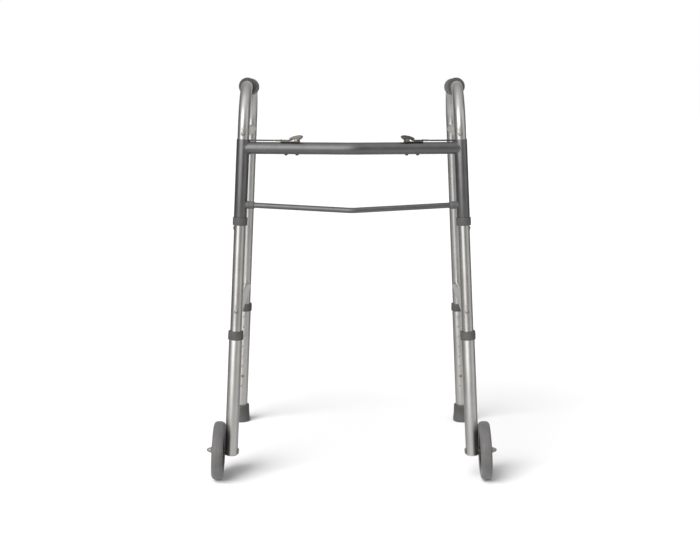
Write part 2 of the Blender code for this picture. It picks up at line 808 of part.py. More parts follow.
def end_plug(side, tag, across):
    """Cap pressed into the open bottom of the front leg; the axle bolt passes through its stem."""
    foot = FRONT_LOWER[0]
    stem = LOWER_BORE - GAP
    plug = turned(
        [
            (0, foot + 0.0180),
            (stem, foot + 0.0180),
            (stem, foot - GAP),
            (LOWER_R, foot - GAP),
            (LOWER_R - 0.0008, foot - 0.0015),
            (0, foot - 0.0022),
        ],
        20,
    )
    ob = make_object("leg_end_plug_" + tag, plug, side_frame(side), PLUG_PLASTIC)
    boolean(ob, "DIFFERENCE", rod(AXLE_R + GAP, -0.02, 0.02, 16), across)


def rubber_tip(side, tag):
    """Flared ferrule, worn flat on the floor."""
    seat = REAR_LOWER[0] - GAP
    bore = LOWER_R + GAP
    sole = -0.0045
    tip = [
        (0, seat),
        (bore, seat),
        (bore, TIP_TOP),
        (0.0185, TIP_TOP),
        (0.0192, 0.0280),
        (0.0200, 0.0200),
        (0.0210, 0.0120),
        (TIP_R, 0.0090),
        (TIP_R, sole),
        (0, sole),
    ]
    ob = make_object("rubber_tip_" + tag, turned(tip, 24), rear_frame(side), FOOT_RUBBER)
    boolean(ob, "DIFFERENCE", block((-1, -1, -0.1), (1, 1, 0)), Matrix())


def side_assembly(side, tag):
    side_tube(side, tag)
    hand_grip(side, tag)
    brace(side, tag, "upper_brace", UPPER_BRACE)
    brace(side, tag, "lower_brace", LOWER_BRACE)
    brace_rivets(side, tag)
    stop_rivet(side, tag)
    front, rear = (Matrix.Rotation(turn, 4, "X") for turn in (-pi / 2, pi / 2))
    leg = extension("front_" + tag, side_frame(side), FRONT_LOWER, FRONT_TOP_HOLE, front)
    across = side_frame(side) @ Matrix.Translation((0, 0, AXLE_Z)) @ Matrix.Rotation(pi / 2, 4, "Y")
    boolean(leg, "DIFFERENCE", rod(AXLE_R + GAP, -0.02, 0.02, 16), across)
    extension("rear_" + tag, rear_frame(side), REAR_LOWER, REAR_TOP_HOLE, rear)
    for name, place in zip(("front_", "rear_"), button_places(side)):
        snap_button(name + tag, place)
    wheel(side, tag)
    end_plug(side, tag, across)
    rubber_tip(side, tag)


crossbar()
lower_rod()
for number, label in ((-1, "left"), (1, "right")):
    sleeve(number, label)
    rod_socket(number, label)
    lever_bracket(number, label)
    lever_pin(number, label)
    release_lever(number, label)
    release_rod(number, label)
    release_spring(number, label)
    side_assembly(number, label)

for piece in list(PARTS.objects) + list(CUTTERS.objects):
    piece.matrix_world = Matrix.Translation((0, -MIDDLE_Y, 0)) @ piece.matrix_world
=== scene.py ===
"""Looks of the walking frame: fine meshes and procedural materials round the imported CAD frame."""

import json
from math import cos, pi, radians, sin, sqrt, tan

import bmesh
import bpy
import numpy as np
from mathutils import Matrix, Vector

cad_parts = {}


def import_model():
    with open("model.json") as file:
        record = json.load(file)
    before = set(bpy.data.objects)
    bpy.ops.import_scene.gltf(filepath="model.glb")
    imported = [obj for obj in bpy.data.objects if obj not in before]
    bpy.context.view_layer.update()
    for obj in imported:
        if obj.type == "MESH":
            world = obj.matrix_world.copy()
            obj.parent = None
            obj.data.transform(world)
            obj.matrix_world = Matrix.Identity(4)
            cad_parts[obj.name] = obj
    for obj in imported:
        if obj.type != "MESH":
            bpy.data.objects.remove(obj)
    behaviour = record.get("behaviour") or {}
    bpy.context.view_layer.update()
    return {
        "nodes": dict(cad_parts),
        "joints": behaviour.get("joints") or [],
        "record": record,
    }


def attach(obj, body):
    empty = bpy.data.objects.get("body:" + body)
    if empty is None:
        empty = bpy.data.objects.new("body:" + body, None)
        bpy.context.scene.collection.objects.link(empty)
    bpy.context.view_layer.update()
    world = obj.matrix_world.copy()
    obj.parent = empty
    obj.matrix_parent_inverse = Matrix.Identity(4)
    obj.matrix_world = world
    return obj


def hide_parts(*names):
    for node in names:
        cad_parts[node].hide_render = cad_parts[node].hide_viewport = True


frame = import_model()
RECORD = frame["record"]
JOINTS = {j["name"]: j for j in frame["joints"]}
BODY = {n: b for b, nodes in RECORD["behaviour"]["bodies"].items() for n in nodes}

# ---------------------------------------------------------------- sizes of the CAD part, in metres
GAP = 0.0003
TUBE_R = 0.0120
TUBE_WALL = 0.0013
LOWER_R = 0.0138
LOWER_BORE = 0.0123
REAR_Y0 = 0.445
REAR_LEAN = 0.0787
RAIL_Z = 0.826
BEND_R = 0.085
FRONT_TUBE_END = 0.1225
REAR_TUBE_END = 0.0850
FRONT_LOWER = (0.0535, 0.3188)
REAR_LOWER = (0.0100, 0.3020)
PITCH = 0.0254
HOLES = 8
USED_HOLE = 6
FRONT_TOP_HOLE = 0.2890
REAR_TOP_HOLE = 0.2724
HOLE_R = 0.0038
BUTTON_R = 0.0034
BUTTON_TIP = 0.0163
LEAF_FACE = 0.0094
SLEEVE_R = 0.0133
SLEEVE_Z = (0.5598, 0.7192)
BUSH_R = 0.0152
BUSH_Z = (0.5430, 0.5595)
BAR_Z = 0.7007
BAR_R = 0.0123
BAR_WALL = 0.0016
BAR_BEND = 0.12
BOW = 0.035
ROD_R = 0.0056
ROD_END_Z = 0.5850
ROD_MID_Z = 0.5759
ROD_BEND = 0.06
SOCKET_R = 0.0080
SOCKET_REACH = 0.0285
UPPER_BRACE = (0.7305, 0.7290, 0.0105)
LOWER_BRACE = (0.3626, 0.3468, 0.0115)
BRACE_INSET = 0.0045
PIN_Z = 0.7163
PIN_HOLE_R = 0.0020
PIVOT_T = 0.1116
PIVOT_Z = 0.7175
BASE_Z = (0.7133, 0.7145)
CLEVIS_MID = 0.0890
TAB_T = (0.0788, 0.0798)  # the guide tab, along the bar
BASE_HALF = 0.0078
CHEEK_W = 0.0072
SPRING_T = (0.0656, 0.0784)
SPRING_R = 0.0022
SPRING_WIRE = 0.00038
SPRING_TURNS = 5
GRIP_R = 0.0185
GRIP_Y = (0.0960, 0.2640)
GRIP_RIBS = 6
WHEEL_R = 0.0615
TYRE_HALF = 0.0119
TYRE_IN_R = 0.0452
AXLE_Z = 0.06028
AXLE_R = 0.0040
WHEEL_OUT = 0.0270
NUT_END = 0.0518
NUT_START = 0.03831
TIP_TOP = 0.0422
TIP_R = 0.0217
COLLAR_R = 0.0160
RIVET_R = 0.0025
RIVET_HEAD_R = 0.0047
RIVET_DEPTH = 0.0150
DIMPLE = 0.0015  # how deep the tube is pressed in round a brace rivet

# ---------------------------------------------------------------- studio
# Brightness of the surroundings in front of the frame, at its sides, behind, above and below.
STUDIO_FRONT = 0.28
STUDIO_SIDE = 0.13
STUDIO_BACK = 0.62
STUDIO_TOP = 0.40
STUDIO_FLOOR = 0.38
# Soft panels: azimuth, elevation, cosines of the angles where each starts and is full, brightness.
PANELS = (
    (-29, 15, 0.77, 0.97, 1.60),
    (-36, 55, 0.75, 0.98, 0.35),
    (68, 10, 0.80, 0.98, 0.38),
)
KEY_AZIMUTH = -36  # degrees to the left of straight in front
KEY_ELEVATION = 42
KEY_SPREAD = 44
KEY_POWER = 2.9
CAMERA_PLACE = (-0.0038, -2.581, 0.808)
CAMERA_TILT = 80.92  # degrees up from straight down
CAMERA_LENS = 59.66  # mm, on a sensor 36 mm wide
CAMERA_SENSOR = 36.0


# ---------------------------------------------------------------- frames of reference
def axes(x_axis, y_axis, z_axis, origin):
    turn = Matrix((x_axis, y_axis, z_axis)).transposed().to_4x4()
    return Matrix.Translation(origin) @ turn


def upwards(axis):
    axis = Vector(axis).normalized()
    return axis if axis.z > 0 else -axis


def leg_frame(tag):
    """Local Z up the front leg's axis from the floor, local Y rearwards in the side frame."""
    fold = JOINTS["fold_" + tag]
    up = upwards(fold["axis"])
    across = Vector(JOINTS["wheel_spin_" + tag]["axis"])
    across *= 1 if across.x > 0 else -1
    across = (across - across.dot(up) * up).normalized()
    foot = Vector(fold["pos_m"])
    return axes(across, up.cross(across), up, foot - up * (foot.z / up.z))


def rear_frame(tag):
    leg = leg_frame(tag)
    across = leg.col[0].to_3d()
    up = upwards(JOINTS["rear_height_" + tag]["axis"])
    return axes(across, up.cross(across), up, leg @ Vector((0, REAR_Y0, 0)))


def bar_frame(tag):
    """Local X from the front leg's axis along the half bar, local Z straight up from the floor."""
    along = Vector(JOINTS[f"latch_{tag}_pull"]["axis"]).normalized()
    up = Vector((0, 0, 1))
    pivot = Vector(JOINTS[f"lever_{tag}_press"]["pos_m"])
    return axes(along, up.cross(along), up, pivot - along * PIVOT_T - up * PIVOT_Z)


def rear_y(z):
    return REAR_Y0 - REAR_LEAN * z


def brace_frame(tag, heights):
    """Local Z along the brace from the front leg's axis, and the distance to the rear leg's axis."""
    z_front, z_rear, _ = heights
    back = Vector((0, rear_y(z_rear), z_rear - z_front))
    across = Vector((1, 0, 0))
    along = back.normalized()
    local = axes(across, along.cross(across), along, Vector((0, 0, z_front)))
    return leg_frame(tag) @ local, back.length


def leg_axis_at(tag, z):
    """The point of the front leg's axis at a height above the floor."""
    leg = leg_frame(tag)
    up = leg.col[2].to_3d()
    return leg.translation + up * (z / up.z)


# ---------------------------------------------------------------- mesh code
def rounded(points, radius, steps=4, closed=True):
    """Rounds the corners of a 2-D outline. A point may carry its own radius as a third number."""
    out = []
    count = len(points)
    for i, point in enumerate(points):
        here = Vector(point[:2])
        if not closed and i in (0, count - 1):
            out.append(tuple(here))
            continue
        a = Vector(points[i - 1][:2]) - here
        b = Vector(points[(i + 1) % count][:2]) - here
        half = a.angle(b) / 2
        want = point[2] if len(point) > 2 else radius
        back = min(want / tan(half), 0.48 * a.length, 0.48 * b.length)
        if half > 1.55 or back < 1e-6:
            out.append(tuple(here))
            continue
        size = back * tan(half)
        centre = here + (a.normalized() + b.normalized()).normalized() * (size / sin(half))
        start = here + a.normalized() * back - centre
        end = here + b.normalized() * back - centre
        turn = start.angle(end)
        for k in range(steps + 1):
            t = k / steps
            arc = (start * sin((1 - t) * turn) + end * sin(t * turn)) / sin(turn)
            out.append(tuple(centre + arc))
    return out


def revolve(profile, segs, loop=True):
    """Turns (radius, height) points about Z: a loop, or a line that starts and ends on the axis."""
    bm = bmesh.new()
    rings = []
    for r, z in profile:
        if r < 1e-7:
            rings.append([bm.verts.new((0, 0, z))])
        else:
            angles = (2 * pi * k / segs for k in range(segs))
            rings.append([bm.verts.new((r * cos(a), r * sin(a), z)) for a in angles])
    pairs = list(zip(rings, rings[1:]))
    if loop:
        pairs.append((rings[-1], rings[0]))
    for lower, upper in pairs:
        for k in range(segs):
            m = (k + 1) % segs
            corners = [lower[k % len(lower)], lower[m % len(lower)]]
            corners += [upper[m % len(upper)], upper[k % len(upper)]]
            corners = list(dict.fromkeys(corners))
            if len(corners) > 2:
                bm.faces.new(corners)
    bmesh.ops.recalc_face_normals(bm, faces=bm.faces)
    return bm


def ring_frames(path, closed=False):
    """A tangent and two cross directions at each point, carried along without twist."""
    path = [Vector(p) for p in path]
    count = len(path)
    frames = []
    normal = None
    for i, here in enumerate(path):
        before = path[i - 1] if closed or i else path[0]
        after = path[(i + 1) % count] if closed or i < count - 1 else path[-1]
        tangent = (after - before).normalized()
        if normal is None:
            normal = tangent.orthogonal().normalized()
        normal = (normal - normal.dot(tangent) * tangent).normalized()
        frames.append((here, tangent, normal, tangent.cross(normal)))
    return frames


def sweep(path, radius, segs, closed=False, wall=0.0, radii=None):
    """A round bar along path with flat ends, a hollow one if it has a wall, or a closed ring."""
    bm = bmesh.new()
    frames = ring_frames(path, closed)

    def skin(shrink):
        rings = []
        for i, (here, _, u, v) in enumerate(frames):
            r = (radii[i] if radii else radius) - shrink
            angles = (2 * pi * k / segs for k in range(segs))
            rings.append([bm.verts.new(here + u * (r * cos(a)) + v * (r * sin(a))) for a in angles])
        pairs = list(zip(rings, rings[1:]))
        if closed:
            pairs.append((rings[-1], rings[0]))
        for a, b in pairs:
            for k in range(segs):
                m = (k + 1) % segs
                bm.faces.new((a[k], a[m], b[m], b[k]))
        return rings

    outer = skin(0.0)
    if wall:
        inner = skin(wall)
        for a, b in ((outer[0], inner[0]), (outer[-1], inner[-1])):
            for k in range(segs):
                m = (k + 1) % segs
                bm.faces.new((a[k], a[m], b[m], b[k]))
    elif not closed:
        bm.faces.new(outer[0])
        bm.faces.new(outer[-1])
    bmesh.ops.recalc_face_normals(bm, faces=bm.faces)
    return bm


def prism(outline, y0, y1, edge=0.0, steps=3):
    """Extrudes an XZ outline from y0 to y1 and rounds the two rims."""
    bm = bmesh.new()
    face = bm.faces.new([bm.verts.new((x, y0, z)) for x, z in outline])
    moved = bmesh.ops.extrude_face_region(bm, geom=[face])["geom"]
    top = [g for g in moved if isinstance(g, bmesh.types.BMVert)]
    bmesh.ops.translate(bm, vec=(0, y1 - y0, 0), verts=top)
    bmesh.ops.recalc_face_normals(bm, faces=bm.faces)
    if edge:
        flat = [e for e in bm.edges if abs(e.verts[0].co.y - e.verts[1].co.y) < 1e-9]
        bevel = {"segments": steps, "profile": 0.5, "affect": "EDGES", "clamp_overlap": True}
        bmesh.ops.bevel(bm, geom=flat, offset=edge, **bevel)
    return bm


def slab(low, high, edge=0.0003, corner=0.001):
    """A plate that lies in XY, with rounded corners and softened rims."""
    x0, y0, z0 = low
    x1, y1, z1 = high
    outline = rounded([(x0, y0), (x1, y0), (x1, y1), (x0, y1)], corner)
    bm = prism(outline, z0, z1, edge, 2)
    for v in bm.verts:
        v.co = Vector((v.co.x, v.co.z, v.co.y))
    bmesh.ops.recalc_face_normals(bm, faces=bm.faces)
    return bm


def filleted(corners, radii, steps):
    """Replaces each inner corner of a path by an arc of its radius."""
    path = [Vector(corners[0])]
    for before, here, after, radius in zip(corners, corners[1:], corners[2:], radii):
        here = Vector(here)
        a = (Vector(before) - here).normalized()
        b = (Vector(after) - here).normalized()
        half = a.angle(b) / 2
        back = radius / tan(half)
        centre = here + (a + b).normalized() * (radius / sin(half))
        start = here + a * back - centre
        end = here + b * back - centre
        turn = start.angle(end)
        for i in range(steps + 1):
            t = i / steps
            path.append(centre + (start * sin((1 - t) * turn) + end * sin(t * turn)) / sin(turn))
    path.append(Vector(corners[-1]))
    return path


def filled_in(path, spots, reach, step, wide):
    """Adds points to a path: every `step` within `reach` of a spot, and every `wide` elsewhere."""
    out = [path[0]]
    for a, b in zip(path, path[1:]):
        length = (b - a).length
        marks = {0.0}
        s = 0.0
        while s < length:
            near = any((a.lerp(b, s / length) - spot).length < reach for spot in spots)
            s += step if near else wide
            if s < length - step / 2:
                marks.add(s)
        out += [a.lerp(b, m / length) for m in sorted(marks) if m > 0]
        out.append(b)
    return out


def to_mesh(name, bm, matrix=None):
    mesh = bpy.data.meshes.new(name)
    if matrix is not None:
        bm.transform(matrix)
    bm.to_mesh(mesh)
    bm.free()
    return mesh


def combine(mesh, bm, matrix, operation):
    """The mesh with a shape cut from it or joined to it, by exact Boolean."""
    base = bpy.data.objects.new("base", mesh)
    tool = bpy.data.objects.new("tool", to_mesh("tool", bm, matrix))
    for ob in (base, tool):
        bpy.context.scene.collection.objects.link(ob)
    mod = base.modifiers.new("cut", "BOOLEAN")
    mod.operation = operation
    mod.solver = "EXACT"
    mod.object = tool
    done = bpy.data.meshes.new_from_object(base.evaluated_get(bpy.context.evaluated_depsgraph_get()))
    for ob in (base, tool):
        old = ob.data
        bpy.data.objects.remove(ob)
        bpy.data.meshes.remove(old)
    return done


def cut(mesh, bm, matrix):
    return combine(mesh, bm, matrix, "DIFFERENCE")


def join(mesh, bm, matrix):
    return combine(mesh, bm, matrix, "UNION")


def rod(radius, z0, z1, segs):
    return revolve([(0, z1), (radius, z1), (radius, z0), (0, z0)], segs, loop=False)


def flow(mesh, matrix):
    """Stores straightened coordinates (across, across, along) for grain that follows the piece's own Z."""
    back = matrix.inverted()
    data = np.array([back @ v.co for v in mesh.vertices], np.float32)
    attribute = mesh.attributes.new("flow", "FLOAT_VECTOR", "POINT")
    attribute.data.foreach_set("vector", data.ravel())


def flow_along(mesh, path):
    """The same for a bent piece: the length along its path, and the offset from it."""
    frames = ring_frames(path)
    points = np.array([f[0] for f in frames])
    tangents = np.array([f[1] for f in frames])
    u = np.array([f[2] for f in frames])
    v = np.array([f[3] for f in frames])
    lengths = np.concatenate(([0.0], np.cumsum(np.linalg.norm(np.diff(points, axis=0), axis=1))))
    co = np.array([w.co for w in mesh.vertices])
    nearest = np.array([np.argmin(((points - c) ** 2).sum(1)) for c in co])
    rel = co - points[nearest]
    along = lengths[nearest] + (rel * tangents[nearest]).sum(1)
    data = np.stack([(rel * u[nearest]).sum(1), (rel * v[nearest]).sum(1), along], 1)
    attribute = mesh.attributes.new("flow", "FLOAT_VECTOR", "POINT")
    attribute.data.foreach_set("vector", data.astype(np.float32).ravel())


def piece(node, mesh, look, crease=40):
    """Shows a fine mesh in place of a CAD node, on the same body and slot."""
    ob = bpy.data.objects.new(node + "_fine", mesh)
    bpy.context.scene.collection.objects.link(ob)
    mesh.materials.clear()
    mesh.materials.append(look)
    mesh.shade_smooth()
    mesh.set_sharp_from_angle(angle=radians(crease))
    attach(ob, BODY[node])
    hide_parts(node)
    return ob


# ---------------------------------------------------------------- material code
class Look:
    """A Principled material and a short way to add and join nodes."""

    def __init__(self, name, colour, rough, metal=0.0, **sockets):
        self.mat = bpy.data.materials.new(name)
        self.mat.use_nodes = True
        self.tree = self.mat.node_tree
        self.shader = self.tree.nodes["Principled BSDF"]
        self.colour = (*colour, 1.0)
        self.shader.inputs["Base Color"].default_value = self.colour
        self.shader.inputs["Roughness"].default_value = rough
        self.shader.inputs["Metallic"].default_value = metal
        for key, value in sockets.items():
            self.shader.inputs[key.replace("_", " ")].default_value = value
        self.height = None
        self.last = None

    def add(self, kind, values=None, **settings):
        node = self.tree.nodes.new(kind)
        for key, value in settings.items():
            setattr(node, key, value)
        for key, value in (values or {}).items():
            if isinstance(value, bpy.types.NodeSocket):
                self.tree.links.new(value, node.inputs[key])
            else:
                node.inputs[key].default_value = value
        return node

    def place(self, scale):
        """Coordinates in the piece's rest frame, stretched."""
        source = self.add("ShaderNodeTexCoord").outputs["Object"]
        return self.add("ShaderNodeMapping", {"Vector": source, "Scale": scale}).outputs["Vector"]

    def along(self, scale):
        """Coordinates that follow the tube or turned piece, stretched."""
        source = self.add("ShaderNodeAttribute", attribute_name="flow").outputs["Vector"]
        return self.add("ShaderNodeMapping", {"Vector": source, "Scale": scale}).outputs["Vector"]

    def noise(self, where, scale, detail=3.0, rough=0.5):
        values = {"Vector": where, "Scale": scale, "Detail": detail, "Roughness": rough}
        return self.add("ShaderNodeTexNoise", values).outputs["Fac"]

    def cells(self, where, scale):
        values = {"Vector": where, "Scale": scale}
        return self.add("ShaderNodeTexVoronoi", values).outputs["Distance"]

    def spread(self, fac, low, high, to_low, to_high):
        values = {0: fac, 1: low, 2: high, 3: to_low, 4: to_high}
        return self.add("ShaderNodeMapRange", values).outputs[0]

    def tint(self, fac, low, high):
        """Blends the colour so far towards low and high shades of itself."""
        pair = [tuple(c * k for c in self.colour[:3]) + (1.0,) for k in (low, high)]
        mix = self.add("ShaderNodeMix", {0: fac, 6: pair[0], 7: pair[1]}, data_type="RGBA")
        self.to_colour(mix.outputs[2])

    def to_colour(self, socket):
        self.tree.links.new(socket, self.shader.inputs["Base Color"])
        self.last = socket

    def overlay(self, fac, colour):
        """Lays another colour over the colour so far, where fac is high."""
        mix = self.add("ShaderNodeMix", {0: fac, 6: self.last, 7: (*colour, 1.0)}, data_type="RGBA")
        self.to_colour(mix.outputs[2])

    def to_rough(self, socket):
        self.tree.links.new(socket, self.shader.inputs["Roughness"])

    def bump(self, height, depth, strength=1.0):
        """Adds relief of a real depth in metres."""
        values = {"Height": height, "Distance": depth, "Strength": strength}
        if self.height:
            values["Normal"] = self.height
        self.height = self.add("ShaderNodeBump", values).outputs["Normal"]
        self.tree.links.new(self.height, self.shader.inputs["Normal"])


def aluminium(name, shade, rough, flowing=True):
    """Satin anodised tube: fine drawn lines along its length, clouding and a few hairline scratches."""
    look = Look(name, shade, rough, 1.0)
    where = look.along if flowing else look.place
    lines = look.noise(where((1, 1, 0.012)), 2600, 2, 0.6)
    broad = look.noise(where((1, 1, 0.05)), 420, 2)
    cloud = look.noise(look.place((1, 1, 1)), 26, 4)
    scratch = look.noise(where((1, 1, 0.03)), 900, 1)
    look.tint(look.spread(cloud, 0.35, 0.65, 0.0, 1.0), 0.94, 1.04)
    hair = look.spread(scratch, 0.70, 0.78, 0.0, 0.35)
    look.overlay(hair, tuple(c * 0.72 for c in shade))
    dirt = look.spread(look.noise(look.place((1, 1, 1)), 9, 5), 0.62, 0.80, 0.0, 0.10)
    look.overlay(dirt, (0.36, 0.33, 0.29))
    both = look.add("ShaderNodeMath", {0: lines, 1: broad}, operation="ADD").outputs[0]
    look.to_rough(look.spread(both, 0.75, 1.25, rough - 0.06, rough + 0.07))
    look.bump(lines, 0.000022)
    look.bump(broad, 0.00004)
    return look.mat


def paint(name, shade):
    """Satin enamel with orange peel, faint rubbing marks and small dust nibs."""
    look = Look(name, shade, 0.30, 0.94, Coat_Weight=0.10, Coat_Roughness=0.25)
    peel = look.noise(look.place((1, 1, 1)), 620, 2)
    cloud = look.noise(look.place((1, 1, 1)), 34, 4)
    nibs = look.cells(look.place((1, 1, 1)), 260)
    rub = look.noise(look.place((1, 1, 0.35)), 75, 5, 0.65)
    look.tint(look.spread(cloud, 0.3, 0.7, 0.0, 1.0), 0.92, 1.09)
    look.overlay(look.spread(rub, 0.62, 0.78, 0.0, 0.22), (0.29, 0.285, 0.29))
    look.overlay(look.spread(nibs, 0.0, 0.07, 0.35, 0.0), (0.30, 0.30, 0.30))
    look.to_rough(look.spread(rub, 0.35, 0.7, 0.27, 0.40))
    look.bump(peel, 0.00006)
    look.bump(nibs, 0.00002, 0.4)
    return look.mat


def plated(name, shade, rough):
    """Plated steel or brass: mottled sheen, rolling lines and darker handling marks."""
    look = Look(name, shade, rough, 1.0)
    mottle = look.noise(look.place((1, 1, 1)), 420, 4, 0.6)
    rolled = look.noise(look.place((0.12, 1, 1)), 2600, 2)
    marks = look.noise(look.place((1, 1, 1)), 130, 5, 0.7)
    look.tint(look.spread(mottle, 0.3, 0.7, 0.0, 1.0), 0.82, 1.10)
    look.overlay(look.spread(marks, 0.58, 0.74, 0.0, 0.55), tuple(c * 0.42 for c in shade))
    look.to_rough(look.spread(mottle, 0.3, 0.7, rough - 0.08, rough + 0.14))
    look.bump(rolled, 0.000025)
    look.bump(mottle, 0.00003)
    return look.mat


def plastic(name, shade, rough, grain=1500, depth=0.00005):
    """Moulded plastic: fine spark-eroded grain, slight flow marks and polished high spots."""
    look = Look(name, shade, rough)
    fine = look.noise(look.place((1, 1, 1)), grain, 2)
    cloud = look.noise(look.place((1, 1, 1)), 60, 4)
    scuff = look.noise(look.place((1, 1, 0.4)), 170, 5, 0.65)
    look.tint(look.spread(cloud, 0.3, 0.7, 0.0, 1.0), 0.90, 1.12)
    look.overlay(look.spread(scuff, 0.60, 0.76, 0.0, 0.28), tuple(min(1, c * 1.9) for c in shade))
    look.to_rough(look.spread(scuff, 0.35, 0.7, rough - 0.08, rough + 0.10))
    look.bump(fine, depth)
    return look.mat


def rubber(name, shade, rough, dust, low=None):
    """Moulded rubber: pebbled skin, bloom, and dust that gathers towards the floor."""
    look = Look(name, shade, rough, 0.0, Sheen_Weight=0.12, Sheen_Roughness=0.5)
    skin = look.cells(look.place((1, 1, 1)), 1100)
    fine = look.noise(look.place((1, 1, 1)), 2200, 2)
    cloud = look.noise(look.place((1, 1, 1)), 48, 5, 0.6)
    look.tint(look.spread(cloud, 0.3, 0.7, 0.0, 1.0), 0.86, 1.14)
    bloom = look.noise(look.place((1, 1, 1)), 190, 5, 0.7)
    look.overlay(look.spread(bloom, 0.55, 0.75, 0.0, 0.30), dust)
    if low:
        height = look.add("ShaderNodeSeparateXYZ", {0: look.place((1, 1, 1))}).outputs["Z"]
        floor = look.spread(height, low[0], low[1], 0.55, 0.0)
        patchy = look.add("ShaderNodeMath", {0: floor, 1: bloom}, operation="MULTIPLY").outputs[0]
        look.overlay(patchy, dust)
    look.to_rough(look.spread(bloom, 0.3, 0.7, rough - 0.07, rough + 0.10))
    look.bump(skin, 0.00005)
    look.bump(fine, 0.00003)
    return look.mat


TUBE = aluminium("satin_aluminium_tube", (0.82, 0.805, 0.775), 0.28)
LOWER_TUBE = aluminium("satin_aluminium_lower_tube", (0.89, 0.875, 0.845), 0.38)
RIVET = plated("dull_aluminium_rivet", (0.50, 0.49, 0.47), 0.34)
FITTING = aluminium("satin_aluminium_fitting", (0.80, 0.785, 0.755), 0.38, flowing=False)
PAINT = paint("grey_enamel", (0.240, 0.234, 0.240))
ZINC = plated("zinc_plate", (0.56, 0.54, 0.50), 0.34)
LEVER = plated("dark_zinc_plate", (0.25, 0.243, 0.23), 0.36)
WIRE = plated("dull_steel_wire", (0.20, 0.195, 0.185), 0.38)
BRASS = plated("brass_plate", (0.50, 0.42, 0.25), 0.36)
DULL_BRASS = plated("dull_brass_plate", (0.31, 0.285, 0.21), 0.40)
COLLAR = plastic("collar_plastic", (0.080, 0.076, 0.073), 0.50)
SOCKET = plastic("socket_plastic", (0.10, 0.098, 0.10), 0.42)
PLUG = plastic("plug_plastic", (0.52, 0.51, 0.49), 0.42)
HUB = plastic("hub_plastic", (0.018, 0.018, 0.019), 0.46)
GRIP = rubber("grip_rubber", (0.064, 0.060, 0.057), 0.58, (0.12, 0.116, 0.112))
FOOT = rubber("foot_rubber", (0.070, 0.068, 0.066), 0.60, (0.16, 0.155, 0.15), (0.0, 0.03))
TYRE = rubber("tyre_rubber", (0.114, 0.111, 0.110), 0.42, (0.22, 0.215, 0.21), (0.0, 0.05))


# ---------------------------------------------------------------- side frame pieces
def rivet_places(tag):
    """Local Z points out of the leg: front and rear of the upper brace, then of the lower."""
    places = []
    for heights in (UPPER_BRACE, LOWER_BRACE):
        place, length = brace_frame(tag, heights)
        places.append(place @ Matrix.Rotation(pi, 4, "X"))
        places.append(place @ Matrix.Translation((0, 0, length)))
    return places


def press_in(bm, place, axis):
    """Presses a long shallow dimple into a tube, round a rivet."""
    centre = place.translation
    out = place.col[2].to_3d()
    axis = axis.to_3d().normalized()
    aside = axis.cross(out)
    for v in bm.verts:
        rel = v.co - centre
        if rel.dot(out) > 0:
            along = rel.dot(axis) / 0.0085
            across = rel.dot(aside) / 0.0062
            v.co -= out * (DIMPLE * np.exp(-(along**2) - across**2))


def side_tube(tag):
    leg = leg_frame(tag)
    corners = [
        (0, 0, FRONT_TUBE_END),
        (0, 0, RAIL_Z),
        (0, rear_y(RAIL_Z), RAIL_Z),
        (0, rear_y(REAR_TUBE_END), REAR_TUBE_END),
    ]
    coarse = [leg @ p for p in filleted(corners, [BEND_R, BEND_R], 22)]
    rivets = rivet_places(tag)
    spots = [r.translation for r in rivets]
    path = filled_in(coarse, spots, 0.024, 0.0016, 0.05)
    bm = sweep(path, TUBE_R, 48, wall=TUBE_WALL)
    uprights = (leg.col[2], rear_frame(tag).col[2])
    for place, axis in zip(rivets, uprights * 2):
        press_in(bm, place, axis)
    mesh = to_mesh("side_tube_" + tag, bm)
    mesh = cut(mesh, rod(PIN_HOLE_R, 0.004, 0.020, 20), pin_place(tag))
    for place in button_places(tag):
        mesh = cut(mesh, rod(HOLE_R, 0.006, 0.018, 28), place)
    flow_along(mesh, path)
    piece("side_tube_" + tag, mesh, TUBE)


def pin_place(tag):
    bar = bar_frame(tag)
    return bar @ Matrix.Translation((0, 0, PIN_Z)) @ Matrix.Rotation(pi / 2, 4, "Y")


def brace(tag, name, heights):
    """A tube from the front leg to the rear leg, its ends shaped to fit them."""
    z_front, z_rear, radius = heights
    place, length = brace_frame(tag, heights)
    ring = [
        (radius - TUBE_WALL, BRACE_INSET),
        (radius, BRACE_INSET),
        (radius, length - BRACE_INSET),
        (radius - TUBE_WALL, length - BRACE_INSET),
    ]
    mesh = to_mesh(name, revolve(ring, 40), place)
    span = 0.02
    mesh = cut(mesh, rod(TUBE_R + GAP, z_front - span, z_front + span, 48), leg_frame(tag))
    mesh = cut(mesh, rod(TUBE_R + GAP, z_rear - span, z_rear + span, 48), rear_frame(tag))
    flow(mesh, place)
    piece(f"{name}_{tag}", mesh, TUBE)


def domed_rivet(names, tag):
    """Brazier head with a shallow rim, seated in the dimple."""
    seat = TUBE_R - DIMPLE * 0.75
    profile = [(0, seat + 0.0021)]
    for k in range(1, 9):
        a = k / 8 * pi / 2
        profile.append((RIVET_HEAD_R * sin(a), seat + 0.0004 + 0.0017 * cos(a)))
    profile += [(RIVET_HEAD_R - 0.0002, seat), (RIVET_R, seat), (RIVET_R, -RIVET_DEPTH), (0, -RIVET_DEPTH)]
    for name, place in zip(names, rivet_places(tag)):
        mesh = to_mesh(name, revolve(profile, 28, loop=False), place)
        piece(f"{name}_{tag}", mesh, RIVET, crease=50)


